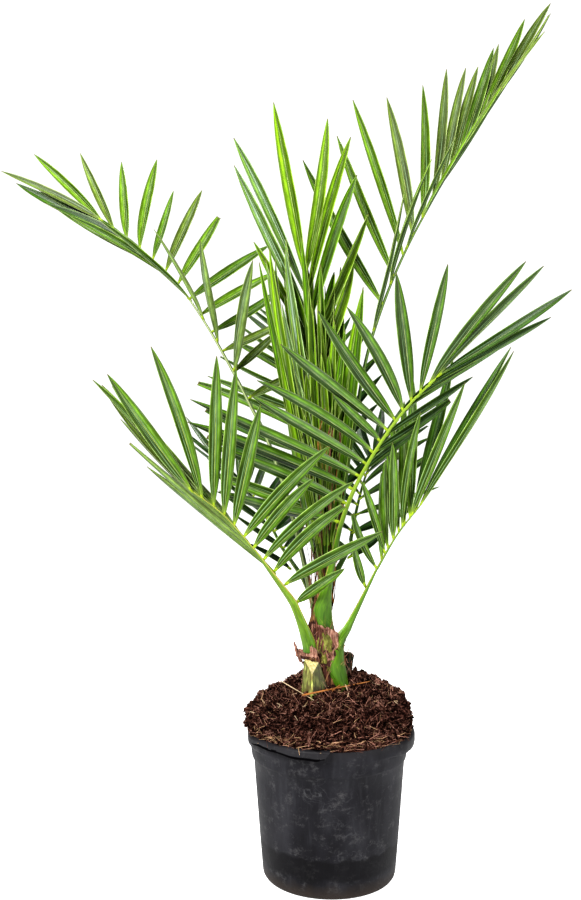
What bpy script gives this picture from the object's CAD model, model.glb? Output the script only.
"""A young Canary Island date palm in its nursery pot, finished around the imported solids."""

import math
import random

import bmesh
import bpy
from mathutils import Matrix, Vector, noise
from mathutils.bvhtree import BVHTree


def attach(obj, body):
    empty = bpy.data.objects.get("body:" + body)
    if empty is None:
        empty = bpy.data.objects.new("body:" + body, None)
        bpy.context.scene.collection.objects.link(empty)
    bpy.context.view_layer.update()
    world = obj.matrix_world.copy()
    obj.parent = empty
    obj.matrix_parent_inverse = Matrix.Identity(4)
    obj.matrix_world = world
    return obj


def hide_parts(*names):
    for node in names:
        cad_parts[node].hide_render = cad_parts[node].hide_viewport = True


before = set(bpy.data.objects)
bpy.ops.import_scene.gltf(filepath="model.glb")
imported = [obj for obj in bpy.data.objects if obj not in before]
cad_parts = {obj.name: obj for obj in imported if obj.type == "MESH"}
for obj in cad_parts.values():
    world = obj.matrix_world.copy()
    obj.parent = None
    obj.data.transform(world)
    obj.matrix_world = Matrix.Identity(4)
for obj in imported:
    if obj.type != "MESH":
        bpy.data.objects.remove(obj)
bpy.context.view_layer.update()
bpy.ops.object.select_all(action="DESELECT")


def node(tree, kind, **settings):
    """A node with its settings. A setting in inputs goes by the socket's name or number."""
    made = tree.nodes.new("ShaderNode" + kind)
    for socket, value in settings.pop("inputs", {}).items():
        made.inputs[socket].default_value = value
    for key, value in settings.items():
        setattr(made, key, value)
    return made


def bare_material(name, colour, roughness, specular):
    """A material of one colour, and its shader."""
    made = bpy.data.materials.new(name)
    made.use_nodes = True
    shader = made.node_tree.nodes["Principled BSDF"]
    shader.inputs["Base Color"].default_value = (*colour, 1)
    shader.inputs["Roughness"].default_value = roughness
    shader.inputs["Specular IOR Level"].default_value = specular
    return made, shader


# ---------------------------------------------------------------- camera and studio
# A level camera in front of the pot takes in the whole crown. The palm stands on a plain pale
# floor in soft white light, with one large lamp high on the left and weaker ones on the right
# and behind.

bpy.ops.object.camera_add(
    location=(-0.0446, -1.107, 0.487), rotation=(math.radians(90), 0, 0)
)
camera = bpy.context.object
camera.data.sensor_fit = "VERTICAL"
camera.data.sensor_height = 36
camera.data.lens = 38.2
bpy.context.scene.camera = camera


def glow(tree, socket, on_palm, to_camera):
    """A strength that is low where it lights the palm and high where the camera sees it."""
    seen = node(tree, "LightPath").outputs["Is Camera Ray"]
    strength = node(tree, "MapRange", inputs={"To Min": on_palm, "To Max": to_camera})
    tree.links.new(seen, strength.inputs["Value"])
    tree.links.new(strength.outputs["Result"], socket)


bpy.ops.mesh.primitive_plane_add(size=9)
floor = bpy.context.object
floor.name = "studio_floor"
pale, shader = bare_material("pale studio floor", (0.93, 0.93, 0.93), 0.9, 0.1)
shader.inputs["Emission Color"].default_value = (1, 1, 1, 1)
glow(pale.node_tree, shader.inputs["Emission Strength"], 0.16, 0.85)
floor.data.materials.append(pale)

studio = bpy.data.worlds.new("white studio")
studio.use_nodes = True
backdrop = studio.node_tree.nodes["Background"]
backdrop.inputs["Color"].default_value = (1, 1, 1, 1)
glow(studio.node_tree, backdrop.inputs["Strength"], 0.25, 1.0)
bpy.context.scene.world = studio
bpy.context.scene.view_settings.view_transform = "Standard"
bpy.context.scene.view_settings.look = "Medium High Contrast"

for name, place, aim_height, size, power in (
    ("key light", (-1.2, -1.6, 2.0), 0.5, 0.8, 88),
    ("fill light", (1.7, -1.1, 1.1), 0.5, 0.9, 20),
    ("rim light", (0.5, 1.6, 2.1), 0.6, 0.9, 30),
):
    bpy.ops.object.light_add(type="AREA", location=place)
    lamp = bpy.context.object
    lamp.name = name
    lamp.data.size = size
    lamp.data.energy = power
    aim = Vector((0, 0, aim_height)) - Vector(place)
    lamp.rotation_euler = aim.to_track_quat("-Z", "Y").to_euler()


# ---------------------------------------------------------------- pot
# A thin injection-moulded nursery pot of recycled charcoal plastic, with a stacking collar, a
# rolled lip that is dented at the front, and drain holes in its flat underside.


class Finish:
    """A material built up in layers. It is read at places on the object or, if mapped, on the
    piece's own map, and colour is what the layers have come to so far."""

    def __init__(self, name, roughness, specular=0.5, mapped=False):
        self.material, self.shader = bare_material(name, (0.8, 0.8, 0.8), roughness, specular)
        self.tree = self.material.node_tree
        if mapped:
            self.place = node(self.tree, "UVMap", uv_map="UVMap").outputs["UV"]
        else:
            self.place = node(self.tree, "TexCoord").outputs["Object"]

    def feed(self, socket, value):
        """Gives a socket its value: another socket's, a colour or a number."""
        if isinstance(value, bpy.types.NodeSocket):
            self.tree.links.new(value, socket)
        else:
            socket.default_value = (*value, 1) if isinstance(value, tuple) else value

    def axis(self, name):
        split = node(self.tree, "SeparateXYZ")
        self.feed(split.inputs["Vector"], self.place)
        return split.outputs[name]

    def math(self, operation, *values):
        made = node(self.tree, "Math", operation=operation)
        for socket, value in zip(made.inputs, values):
            self.feed(socket, value)
        return made.outputs["Value"]

    def over(self, value, low, high):
        """The share of the way from low to high that value has come."""
        made = node(self.tree, "MapRange", inputs={"From Min": low, "From Max": high})
        self.feed(made.inputs["Value"], value)
        return made.outputs["Result"]

    def grain(self, scale, detail=2.0, stretch=(1, 1, 1), roughness=0.5):
        """Noise over the place, drawn out by stretch."""
        mapping = node(self.tree, "Mapping", inputs={"Scale": stretch})
        self.feed(mapping.inputs["Vector"], self.place)
        kind = {"Scale": scale, "Detail": detail, "Roughness": roughness}
        made = node(self.tree, "TexNoise", inputs=kind)
        self.feed(made.inputs["Vector"], mapping.outputs["Vector"])
        return made.outputs["Fac"]

    def ramp(self, source, *stops):
        """A colour ramp over source, from (position, grey or colour) stops."""
        made = node(self.tree, "ValToRGB")
        elements = made.color_ramp.elements
        while len(elements) < len(stops):
            elements.new(0.5)
        for element, (position, colour) in zip(elements, stops):
            element.position = position
            element.color = (*(colour if isinstance(colour, tuple) else [colour] * 3), 1)
        self.feed(made.inputs["Fac"], source)
        return made.outputs["Color"]

    def blend(self, share, low, high, way="MIX"):
        """Mixes two colours by a number or socket."""
        made = node(self.tree, "Mix", data_type="RGBA", blend_type=way)
        sockets = {socket.identifier: socket for socket in made.inputs}
        for name, value in (("Factor_Float", share), ("A_Color", low), ("B_Color", high)):
            self.feed(sockets[name], value)
        return next(o for o in made.outputs if o.identifier == "Result_Color")

    def cover(self, colour, source, *stops):
        """Lays a colour over what there is, by a ramp over source or by source itself."""
        share = self.ramp(source, *stops) if stops else source
        self.colour = self.blend(share, self.colour, colour)

    def shade(self, source, *stops):
        """Darkens or lightens what there is by a ramp over source."""
        self.colour = self.blend(1.0, self.colour, self.ramp(source, *stops), "MULTIPLY")

    def done(self, height=None, strength=0.0, distance=0.0):
        """The material with its colour and, if there is a height, with that as relief."""
        self.feed(self.shader.inputs["Base Color"], self.colour)
        if height is not None:
            bump = node(self.tree, "Bump", inputs={"Strength": strength, "Distance": distance})
            self.feed(bump.inputs["Height"], height)
            self.feed(self.shader.inputs["Normal"], bump.outputs["Normal"])
        return self.material


def charcoal_plastic():
    plastic = Finish("charcoal plastic", 0.5, 0.10)
    # Cloudy grey of recycled plastic, drawn out upwards where the pot was wiped.
    clouds = plastic.grain(26, 5, (1, 1, 0.45), 0.6)
    plastic.colour = plastic.ramp(
        clouds, (0.30, (0.0065, 0.0060, 0.0075)), (0.50, (0.0130, 0.0125, 0.0155)),
        (0.70, (0.0280, 0.0275, 0.0320)),
    )
    wiped = plastic.grain(150, 4, (1, 1, 0.09), 0.7)
    plastic.cover((0.050, 0.050, 0.056), wiped, (0.55, 0), (0.74, 0.30))
    # Pale scuffs where it rubbed against other pots.
    scuffs = plastic.grain(62, 7, (1, 1, 1.3), 0.8)
    plastic.cover((0.078, 0.076, 0.078), scuffs, (0.53, 0), (0.60, 0.30), (0.72, 0.85))
    # Thin scratches curl over the wall, in some places and not in others.
    curls = node(plastic.tree, "TexNoise", inputs={"Scale": 58, "Detail": 2, "Distortion": 1.0})
    plastic.feed(curls.inputs["Vector"], plastic.place)
    lines = plastic.ramp(curls.outputs["Fac"], (0.480, 0), (0.500, 1), (0.520, 0))
    patches = plastic.ramp(plastic.grain(17, 3), (0.52, 0), (0.66, 0.40))
    plastic.cover((0.080, 0.080, 0.086), plastic.math("MULTIPLY", lines, patches))
    # A damp dark band with a ragged edge above the foot, and dust on the foot itself.
    ragged = plastic.math("MULTIPLY_ADD", plastic.grain(70, 4), 0.014, plastic.axis("Z"))
    height = plastic.over(ragged, 0, 0.2)
    plastic.cover(
        (0.0038, 0.0034, 0.0042), height, (0.12, 0.0), (0.15, 0.72), (0.245, 0.78), (0.262, 0.0)
    )
    plastic.cover((0.038, 0.029, 0.023), height, (0.05, 0.80), (0.125, 0.0))
    # The lip and the skin folded over it are dustier than the wall.
    plastic.cover((0.034, 0.032, 0.034), height, (0.80, 0.0), (0.85, 0.45))
    rough = plastic.ramp(clouds, (0.3, 0.40), (0.75, 0.62))
    plastic.feed(plastic.shader.inputs["Roughness"], rough)
    return plastic.done(plastic.grain(420, 3), 0.25, 0.0004)


def edit(*steps):
    """Runs the steps on all of the active mesh."""
    bpy.ops.object.mode_set(mode="EDIT")
    bpy.ops.mesh.select_all(action="SELECT")
    for step, settings in steps:
        step(**settings)
    bpy.ops.object.mode_set(mode="OBJECT")


def pull_rings(name, profile, points):
    """A turned body: a disc whose edge is extruded from one (radius, height) to the next."""
    radius, height = profile[0]
    bpy.ops.mesh.primitive_circle_add(
        vertices=points, radius=radius, fill_type="TRIFAN", location=(0, 0, height)
    )
    body = bpy.context.object
    body.name = body.data.name = name
    steps = [(bpy.ops.mesh.region_to_loop, {})]
    for next_radius, next_height in profile[1:]:
        rise = {"value": (0, 0, next_height - height)}
        grow = next_radius / radius
        wider = {"value": (grow, grow, 1), "center_override": (0, 0, next_height)}
        steps.append((bpy.ops.mesh.extrude_region_move, {"TRANSFORM_OT_translate": rise}))
        steps.append((bpy.ops.transform.resize, wider))
        radius, height = next_radius, next_height
    steps += [
        (bpy.ops.mesh.edge_face_add, {}),
        (bpy.ops.mesh.poke, {}),
        (bpy.ops.mesh.select_all, {"action": "SELECT"}),
        (bpy.ops.mesh.normals_make_consistent, {"inside": False}),
    ]
    edit(*steps)
    bpy.ops.object.transform_apply(location=True, rotation=False, scale=False)
    return body


def apply_modifier(piece, kind, **settings):
    made = piece.modifiers.new(kind.lower(), kind)
    for key, value in settings.items():
        setattr(made, key, value)
    bpy.context.view_layer.objects.active = piece
    bpy.ops.object.modifier_apply(modifier=made.name)


def finish_piece(piece, slot, *nodes):
    """Smooth faces with crisp edges, and the piece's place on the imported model."""
    bpy.ops.object.select_all(action="DESELECT")
    piece.select_set(True)
    bpy.context.view_layer.objects.active = piece
    bpy.ops.object.shade_smooth_by_angle(angle=math.radians(50))
    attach(piece, "root")
    if nodes:
        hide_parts(*nodes)
    piece.select_set(False)


def ease(value, low, high):
    """0 at low and 1 at high, with a smooth passage between."""
    share = min(1, max(0, (value - low) / (high - low)))
    return share * share * (3 - 2 * share)


def azimuth(point):
    return math.degrees(math.atan2(point.y, point.x))


def around(turn, reach=1.0, height=0.0):
    """The point at an azimuth in radians, a reach from the pot's axis and a height."""
    return Vector((reach * math.cos(turn), reach * math.sin(turn), height))


def sideways_of(turn):
    """The level direction along a circle round the pot's axis."""
    return Vector((-math.sin(turn), math.cos(turn), 0))


POT_HEIGHT = 0.167
POT_POINTS = 144
LIP_FROM = 0.1505  # height above which the wall belongs to the lip
COLLAR_REACH = 0.0906
LIP_REACH = 0.0908  # radius outside which a point is on the lip's outer skin
DRAIN_HOLES = 8
POT_OUTSIDE = [
    (0.0715, 0), (0.0745, 0.0008), (0.0760, 0.0030), (0.0768, 0.0070),
    (0.0795, 0.0400), (0.0826, 0.0800), (0.0853, 0.1150), (0.0868, 0.1345),
    (0.0885, 0.1358), (0.0891, 0.1380), (0.0899, 0.1440), (0.0906, 0.1503),
    (0.0940, 0.1512), (0.0962, 0.1530), (0.0968, 0.1570), (0.0968, 0.1625),
    (0.0960, 0.1656), (0.0944, 0.1668),
]
POT_INSIDE = [
    (0.0922, 0.1655), (0.0903, 0.1600), (0.0893, 0.1500), (0.0877, 0.1385),
    (0.0855, 0.1345), (0.0813, 0.0800), (0.0756, 0.0070), (0.0728, 0.0022),
    (0.0300, 0.0020),
]
CHARCOAL = charcoal_plastic()
pot = pull_rings("nursery_pot", POT_OUTSIDE + POT_INSIDE, POT_POINTS)
for point in pot.data.vertices:
    turn = azimuth(point.co)
    reach = math.hypot(point.co.x, point.co.y)
    if point.co.z > LIP_FROM:
        # The lip is pressed flat at the front and the left, and bulges to the right.
        flat = 1 - ease(turn, -52, -36) if turn < 90 else ease(turn, 140, 165)
        flat *= 0.45 + 0.40 * ease(turn, -160, -130) if turn < 90 else 0.45
        bulge = ease(turn, -44, -30) - ease(turn, 5, 25)
        share = COLLAR_REACH + (reach - COLLAR_REACH) * (1 - flat + 0.3 * bulge)
        if reach > LIP_REACH:
            point.co.x *= share / reach
            point.co.y *= share / reach
        point.co.z -= 0.0012 * bulge * (1 if point.co.z < 0.158 else 0.3)
    if point.co.z > 0.02:
        wave = 1 + 0.004 * math.sin(math.radians(2 * turn + 40)) * point.co.z / POT_HEIGHT
        point.co.x *= wave
        point.co.y *= wave
for i in range(DRAIN_HOLES):
    bpy.ops.mesh.primitive_cylinder_add(
        vertices=20, radius=0.0045, depth=0.02,
        location=around(math.tau * (i + 0.5) / DRAIN_HOLES, 0.05),
    )
    hole = bpy.context.object
    apply_modifier(pot, "BOOLEAN", operation="DIFFERENCE", object=hole)
    bpy.data.objects.remove(hole)
pot.data.materials.append(CHARCOAL)
finish_piece(pot, "pot_plastic", "pot")


# ---------------------------------------------------------------- rim flap
# At the front left the lip has split and its outer skin is folded down over the collar. It is
# the same plastic, so thin that it lies wavy, with a torn end and grime in its shadow.

FLAP_FROM, FLAP_TO = -158, -91
FLAP_TOP = 0.1676
FLAP_DEPTH = 0.0102


def flap_drop(along):
    deep = FLAP_DEPTH * (0.66 + 0.34 * ease(along, 0.35, 0.75)) * (1 - 0.14 * ease(along, 0.9, 1))
    return deep * (1 + 0.05 * math.sin(along * 23))


def above_edge(point):
    """How far point is above the flap's lower edge."""
    along = (azimuth(point) - FLAP_FROM) / (FLAP_TO - FLAP_FROM)
    return point.z - (FLAP_TOP - flap_drop(min(1, max(0, along))))


bpy.ops.mesh.primitive_grid_add(x_subdivisions=48, y_subdivisions=9, size=2)
flap = bpy.context.object
flap.name = flap.data.name = "folded_lip"
for point in flap.data.vertices:
    along, down = (point.co.x + 1) / 2, (1 - point.co.y) / 2
    turn = FLAP_FROM + (FLAP_TO - FLAP_FROM) * along - 4 * down * ease(along, 0.8, 1)
    reach = 0.0938 + 0.0042 * ease(down, 0, 0.3) + 0.0005 * math.sin(along * 19) * down
    height = FLAP_TOP - flap_drop(along) * max(0, down - 0.12) / 0.88
    point.co = around(math.radians(turn), reach, height)
apply_modifier(flap, "SOLIDIFY", thickness=0.0015, offset=0)
flap.data.materials.append(CHARCOAL)
grime, shader = bare_material("grime under the fold", (0.0025, 0.0023, 0.0028), 0.8, 0)
flap.data.materials.append(grime)
for face in flap.data.polygons:
    spots = [flap.data.vertices[i].co for i in face.vertices]
    start = min(azimuth(spot) for spot in spots) - FLAP_FROM
    line = 0.0018 * ease(start, 4, 14)
    if face.normal.z < -0.6 or min(above_edge(spot) for spot in spots) < line:
        face.material_index = 1
finish_piece(flap, "pot_plastic", "rim_flap")


# ---------------------------------------------------------------- potting soil
# Dark fibrous peat, heaped above the lip by the root ball and held together by roots: lumps
# and crumbs, thousands of fine fibres, straw bits, tan root threads along the front edge,
# a dry orange-brown twig and a pale straw that lie on it.

HEAP = [
    (0.0885, 0.1400), (0.0890, 0.1520), (0.0900, 0.1600), (0.0912, 0.1650), (0.0950, 0.1705),
    (0.0965, 0.1760), (0.0955, 0.1840), (0.0920, 0.1915), (0.0865, 0.1975), (0.0790, 0.2025),
    (0.0715, 0.2065), (0.0640, 0.2100), (0.0560, 0.2138), (0.0480, 0.2172), (0.0400, 0.2205),
    (0.0320, 0.2232), (0.0250, 0.2250), (0.0170, 0.2258), (0.0080, 0.2260),
]
HEAP_FROM = 0.166  # the peat is free of the pot above this height
HEAP_REACH = 0.0985
CRUMBS, FIBRES, ROOT_THREADS, STRAW_BITS = 3000, 6400, 430, 70  # how many of each


def peat(name, dark, mid, light):
    made = Finish(name, 0.92, 0.02)
    crumbs = made.grain(300, 6, (1, 1, 1), 0.8)
    made.colour = made.ramp(crumbs, (0.36, dark), (0.5, mid), (0.68, light))
    made.shade(made.grain(34, 3), (0.35, 0.55), (0.65, 1.0))
    return made.done(made.grain(320, 5, (1, 1, 1), 0.7), 1.0, 0.0020)


def subdivide():
    edit((bpy.ops.mesh.subdivide, {"number_cuts": 1}))


PEAT = peat("dark peat", (0.0003, 0.0001, 0.0001), (0.0080, 0.0020, 0.0012), (0.25, 0.110, 0.082))
soil = pull_rings("peat_heap", HEAP, 220)
subdivide()
for point in soil.data.vertices:
    if point.co.z > HEAP_FROM:
        lumps = noise.noise(point.co * 42) * 0.0064 + noise.noise(point.co * 105) * 0.0062
        crumb = abs(noise.noise(point.co * 240 + Vector((7, 3, 1)))) * 0.0052
        outward = Vector((point.co.x, point.co.y, 0.035 + 1.6 * (point.co.z - 0.17)))
        # The heap is higher at the back right and lower along the front.
        lean = 0.0050 * (point.co.x + 0.4 * point.co.y) / 0.09
        hollow = ((point.co.x + 0.030) ** 2 + (point.co.y + 0.035) ** 2) / 0.0007
        lean -= 0.0055 * math.exp(-hollow)
        free = ease(point.co.z, HEAP_FROM, 0.176)
        point.co += outward.normalized() * (lumps + crumb - 0.0022) * free
        point.co.z += lean * ease(point.co.z, 0.185, 0.205)
soil.data.materials.append(PEAT)
surface = BVHTree.FromPolygons(
    [v.co.copy() for v in soil.data.vertices], [list(p.vertices) for p in soil.data.polygons]
)
finish_piece(soil, "potting_soil", "root_ball")


def on_heap(reach, turn):
    """The point of the heap below or beside (reach, turn), and its normal."""
    way = around(turn)
    if reach < 0.083:
        found = surface.ray_cast(way * reach + Vector((0, 0, 0.3)), Vector((0, 0, -1)))
    else:
        height = 0.169 + 0.028 * (0.099 - reach) / 0.016
        found = surface.ray_cast(way * 0.2 + Vector((0, 0, height)), -way)
    return found[0], found[1]


def scattered(count, core):
    """Places spread evenly over the heap, but for its core, each with its normal."""
    for _ in range(count):
        reach = HEAP_REACH * math.sqrt(chance.uniform(core, 1))
        place, normal = on_heap(reach, chance.uniform(-math.pi, math.pi))
        if place is not None:
            yield place, normal


def any_way(rise):
    return Vector((chance.gauss(0, 1), chance.gauss(0, 1), chance.gauss(0, rise)))


def strew(name, shapes, placings, finishes):
    """One piece made of many copies: each placing is (shape number, matrix, finish number)."""
    points, faces, slots = [], [], []
    for which, matrix, slot in placings:
        first = len(points)
        shape_points, shape_faces = shapes[which]
        points.extend(matrix @ p for p in shape_points)
        faces.extend([first + k for k in face] for face in shape_faces)
        slots.extend([slot] * len(shape_faces))
    mesh = bpy.data.meshes.new(name)
    mesh.from_pydata(points, [], faces)
    for finish in finishes:
        mesh.materials.append(finish)
    mesh.polygons.foreach_set("material_index", slots)
    piece = bpy.data.objects.new(name, mesh)
    bpy.context.scene.collection.objects.link(piece)
    return piece


def take_shape(piece):
    """The points and faces of a modelled piece, which is then removed."""
    shape = (
        [v.co.copy() for v in piece.data.vertices],
        [tuple(p.vertices) for p in piece.data.polygons],
    )
    bpy.data.objects.remove(piece)
    return shape


def standing(place, way, size, roll=0.0):
    """A matrix that puts a shape's +Z along way at place, with its own size along each axis."""
    turn = way.to_track_quat("Z", "Y").to_matrix().to_4x4() @ Matrix.Rotation(roll, 4, "Z")
    return Matrix.Translation(place) @ turn @ Matrix.Diagonal((*size, 1))


crumb_shapes = []
for seed in range(4):
    bpy.ops.mesh.primitive_ico_sphere_add(subdivisions=2 if seed == 0 else 1, radius=1)
    crumb = bpy.context.object
    for point in crumb.data.vertices:
        point.co *= 0.75 + 0.7 * noise.noise(point.co * 1.3 + Vector((seed * 5, 0, 0)))
    crumb_shapes.append(take_shape(crumb))

chance = random.Random(41)
placings = []
for place, normal in scattered(CRUMBS, 0.02):
    size = 0.0008 + 0.0036 * chance.random() ** 2.2
    way = any_way(1)
    stretch = (size, size * chance.uniform(0.6, 1.1), size * chance.uniform(0.7, 1.8))
    placings.append((
        chance.randrange(4),
        standing(place + normal * size * 0.35, way, stretch),
        0 if chance.random() < 0.62 else 1,
    ))
LOOSE_PEAT = peat("loose peat", (0.004, 0.0012, 0.0008), (0.070, 0.026, 0.018), (0.52, 0.29, 0.22))
crumbs = strew("peat_crumbs", crumb_shapes, placings, [PEAT, LOOSE_PEAT])
finish_piece(crumbs, "potting_soil")


def thread_shape(sides, steps, bend, taper):
    """A thin closed fibre from 0 to 1 up +Z, bent sideways."""
    bpy.ops.mesh.primitive_cylinder_add(vertices=sides, radius=1, depth=1, location=(0, 0, 0.5))
    fibre = bpy.context.object
    bpy.ops.object.transform_apply(location=True)
    shape = bmesh.new()
    shape.from_mesh(fibre.data)
    for i in range(1, steps):
        whole = [*shape.verts, *shape.edges, *shape.faces]
        bmesh.ops.bisect_plane(shape, geom=whole, plane_co=(0, 0, i / steps), plane_no=(0, 0, 1))
    for point in shape.verts:
        height = point.co.z
        thin = 1 - taper * height
        point.co.x = point.co.x * thin + bend * 60 * math.sin(height * 2.6)
        point.co.y = point.co.y * thin + bend * 34 * math.sin(height * 5.1)
    shape.to_mesh(fibre.data)
    shape.free()
    return take_shape(fibre)


def scaled(colour, factor):
    return tuple(min(1, c * factor) for c in colour)


def plain_finish(name, colour, roughness, variety=0.35):
    """A colour that wavers a little from place to place."""
    made = Finish(name, roughness, 0.1)
    low, high = scaled(colour, 1 - variety), scaled(colour, 1 + variety)
    made.colour = made.ramp(made.grain(160, 3), (0.3, low), (0.7, high))
    return made.done()


def thread(draw, place, way, thick, length, first=0):
    """One of the thread shapes at place along way, rolled at random."""
    which = draw.randrange(first, 4)
    return which, standing(place, way, (thick, thick, length), draw.uniform(0, 6.28))


DARK_FIBRE = plain_finish("dark peat fibre", (0.012, 0.004, 0.0025), 0.85)
BROWN_FIBRE = plain_finish("brown peat fibre", (0.150, 0.062, 0.038), 0.8)
RED_FIBRE = plain_finish("reddish root fibre", (0.50, 0.255, 0.190), 0.75)
STRAW_FIBRE = plain_finish("straw fibre", (0.62, 0.40, 0.22), 0.7)

thread_shapes = [thread_shape(3, 4, bend, 0.5) for bend in (0.008, 0.02, 0.05, -0.035)]
placings = []
for place, normal in scattered(FIBRES, 0.03):
    way = any_way(0.8)
    way = (way.normalized() + normal * chance.uniform(-0.1, 0.75)).normalized()
    length = 0.003 + 0.011 * chance.random() ** 1.8
    thick = 0.00012 + 0.00022 * chance.random()
    kind = chance.random()
    slot = 0 if kind < 0.44 else 1 if kind < 0.66 else 2 if kind < 0.92 else 3
    placings.append((*thread(chance, place + normal * 0.0003, way, thick, length), slot))
# Root threads hang and lie along the front edge, just above the lip.
for i in range(ROOT_THREADS):
    turn = math.radians(chance.uniform(-172, -8))
    height = chance.uniform(0.1670, 0.1800)
    place = surface.ray_cast(around(turn, 0.2, height), -around(turn))[0]
    if place is None:
        continue
    way = sideways_of(turn) * chance.choice((-1, 1)) + around(turn) * chance.uniform(-0.1, 0.35)
    way.z = max(-0.22, chance.gauss(0.0, 0.3))
    length = 0.006 + 0.016 * chance.random() ** 1.6
    thick = 0.00014 + 0.00020 * chance.random()
    hanging = thread(chance, place, way.normalized(), thick, length, 1)
    placings.append((*hanging, chance.choice((0, 0, 1, 1, 2, 3, 3))))
fibres = strew(
    "peat_fibres", thread_shapes, placings, [DARK_FIBRE, BROWN_FIBRE, RED_FIBRE, STRAW_FIBRE]
)
finish_piece(fibres, "potting_soil")

# The twig, a splinter of it and the pale straw, each from one end to the other, and straw bits.
stick_shapes = [thread_shape(6, 6, 0.0010, 0.45), thread_shape(6, 6, -0.0030, 0.3)]
TWIG = plain_finish("dry orange twig", (0.42, 0.17, 0.050), 0.6)
PALE_STRAW = plain_finish("pale straw", (0.66, 0.50, 0.32), 0.6)
placings = []
for start, end, thick, slot in (
    ((-0.0315, -0.0535, 0.2165), (0.0450, -0.0220, 0.2240), 0.00105, 0),
    ((0.0020, -0.0415, 0.2180), (0.0110, -0.0350, 0.2235), 0.0009, 0),
    ((-0.0556, -0.0050, 0.2205), (-0.0190, -0.0590, 0.2125), 0.00055, 1),
):
    way = Vector(end) - Vector(start)
    size = (thick, thick, way.length)
    placings.append((0, standing(Vector(start), way.normalized(), size), slot))
for i in range(STRAW_BITS):
    turn = math.radians(chance.uniform(-180, 180))
    place, normal = on_heap(chance.uniform(0.035, 0.098), turn)
    if place is None:
        continue
    way = (any_way(0.4).normalized() + normal * 0.25).normalized()
    size = (0.0005, 0.0003, chance.uniform(0.004, 0.011))
    placings.append((1, standing(place + normal * 0.0008, way, size), 1))
sticks = strew("twig_and_straw", stick_shapes, placings, [TWIG, PALE_STRAW])
finish_piece(sticks, "potting_soil")


# ---------------------------------------------------------------- stem
# The short stem is hidden in what is left of its old leaves: a core of tight brown fibre,
# papery reddish sheaths torn open by the new petioles, loose strands, a faceted olive stub
# with a pale cut face at the front, and a smaller dark one at the back right.

STEM_SHIFT = 0.008  # how far the stem's back stands to the left, above LEAN_FROM
LEAN_FROM, LEAN_TO = 0.24, 0.285
SHEATH_THICKNESS = 0.0009
STRANDS = 620


def skin_of(name, columns, rows, place):
    """A sheet modelled as a flat grid; place(u, v) puts each of its points, u and v from 0 to 1."""
    bpy.ops.mesh.primitive_grid_add(x_subdivisions=columns, y_subdivisions=rows, size=2)
    sheet = bpy.context.object
    sheet.name = sheet.data.name = name
    for point in sheet.data.vertices:
        point.co = place((point.co.x + 1) / 2, (point.co.y + 1) / 2)
    return sheet


def thicken(piece, thickness, offset=0.0, under=0):
    """Gives a sheet its thickness. Its other side takes the finish under places further on."""
    apply_modifier(
        piece, "SOLIDIFY", thickness=thickness, offset=offset, material_offset=under,
        material_offset_rim=under,
    )


def dress(piece, finishes, slot):
    """Gives a piece its finishes, and all its faces the one numbered slot."""
    for finish in finishes:
        piece.data.materials.append(finish)
    piece.data.polygons.foreach_set("material_index", [slot] * len(piece.data.polygons))


def join_pieces(name, pieces):
    bpy.ops.object.select_all(action="DESELECT")
    for piece in pieces:
        piece.select_set(True)
    bpy.context.view_layer.objects.active = pieces[0]
    bpy.ops.object.join()
    joined = bpy.context.object
    joined.name = joined.data.name = name
    bpy.ops.object.select_all(action="DESELECT")
    return joined


def fibrous(name, dark, mid, light, stretch=(1, 1, 0.09), scale=420, rise=0.9):
    """Dry leaf sheath: parallel strands that run upwards."""
    made = Finish(name, 0.8, 0.3)
    strands = made.grain(scale, 4, stretch, 0.65)
    made.colour = made.ramp(strands, (0.34, dark), (0.5, mid), (0.68, light))
    made.shade(made.grain(75, 3), (0.35, 0.5), (0.62, 1.0))
    return made.done(strands, rise, 0.0008)


SHEATH_FINISHES = {
    "brown": fibrous(
        "brown sheath", (0.030, 0.012, 0.006), (0.20, 0.090, 0.032), (0.46, 0.25, 0.10)
    ),
    "pink": fibrous(
        "papery reddish sheath", (0.075, 0.024, 0.014), (0.34, 0.155, 0.105), (0.60, 0.36, 0.26),
        (1, 1, 0.30), 420, 0.5,
    ),
    "green": fibrous(
        "yellow-green old sheath", (0.080, 0.055, 0.012), (0.20, 0.20, 0.030), (0.38, 0.40, 0.09),
        (1, 1, 0.25), 380, 0.4,
    ),
    "dark": fibrous(
        "dark red-brown sheath", (0.012, 0.004, 0.002), (0.075, 0.022, 0.012), (0.25, 0.10, 0.055)
    ),
}
CORE = [
    (0.0120, 0.1880), (0.0195, 0.1900), (0.0195, 0.2050), (0.0192, 0.2200), (0.0188, 0.2350),
    (0.0180, 0.2480), (0.0165, 0.2600), (0.0145, 0.2740), (0.0120, 0.2880), (0.0095, 0.3050),
    (0.0050, 0.3180),
]
core = pull_rings("stem_core", CORE, 72)
subdivide()
for point in core.data.vertices:
    ridge = noise.noise(around(math.radians(azimuth(point.co)), 6, point.co.z * 45))
    grow = 1 + 0.10 * ridge
    point.co.x = point.co.x * grow - STEM_SHIFT * ease(point.co.z, LEAN_FROM, LEAN_TO)
    point.co.y *= grow
core.data.materials.append(SHEATH_FINISHES["dark"])
finish_piece(core, "leaf_base", "stem_base")

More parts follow.
